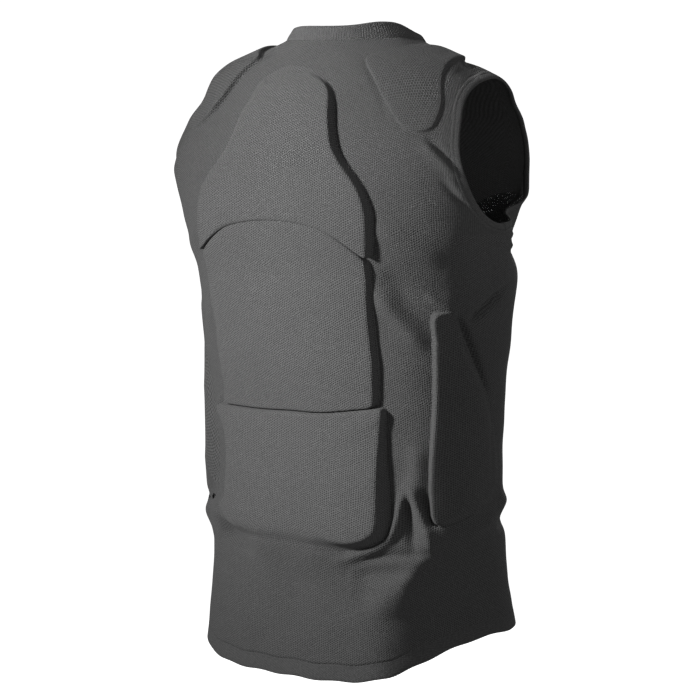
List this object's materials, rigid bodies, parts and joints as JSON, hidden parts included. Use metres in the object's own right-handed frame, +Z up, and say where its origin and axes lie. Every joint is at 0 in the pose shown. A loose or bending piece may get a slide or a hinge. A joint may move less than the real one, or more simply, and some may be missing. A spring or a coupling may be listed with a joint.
{
  "type": "body protector vest",
  "caption": "Sleeveless knit compression vest with foam guards over spine, shoulders and ribs, shown filled out as worn, with open neck, arm openings and dropped back hem.",
  "frame": {"origin": "midway between the two points where the shoulders meet the neck, where the vest hangs on its wearer", "axes": "+Z up, the wearer faces -Y, +X to the wearer's left"},
  "size_m": [0.4002, 0.2572, 0.6895],
  "materials": {
    "knit": "charcoal mesh knit, matt",
    "rib_knit": "charcoal rib knit, matt",
    "edge_knit": "charcoal knit turned under and stitched",
    "pad_cover": "charcoal mesh knit drawn over foam"
  },
  "bodies": {
    "root": {"front_panel": "knit", "back_panel": "knit", "neckband": "rib_knit", "armhole_binding_left": "edge_knit", "armhole_binding_right": "edge_knit", "hem": "edge_knit", "back_pad_upper": "pad_cover", "back_pad_middle": "pad_cover", "back_pad_lumbar": "pad_cover", "shoulder_pad_left": "pad_cover", "shoulder_pad_right": "pad_cover", "rib_pad_left": "pad_cover", "rib_pad_right": "pad_cover"}
  },
  "joints": []
}
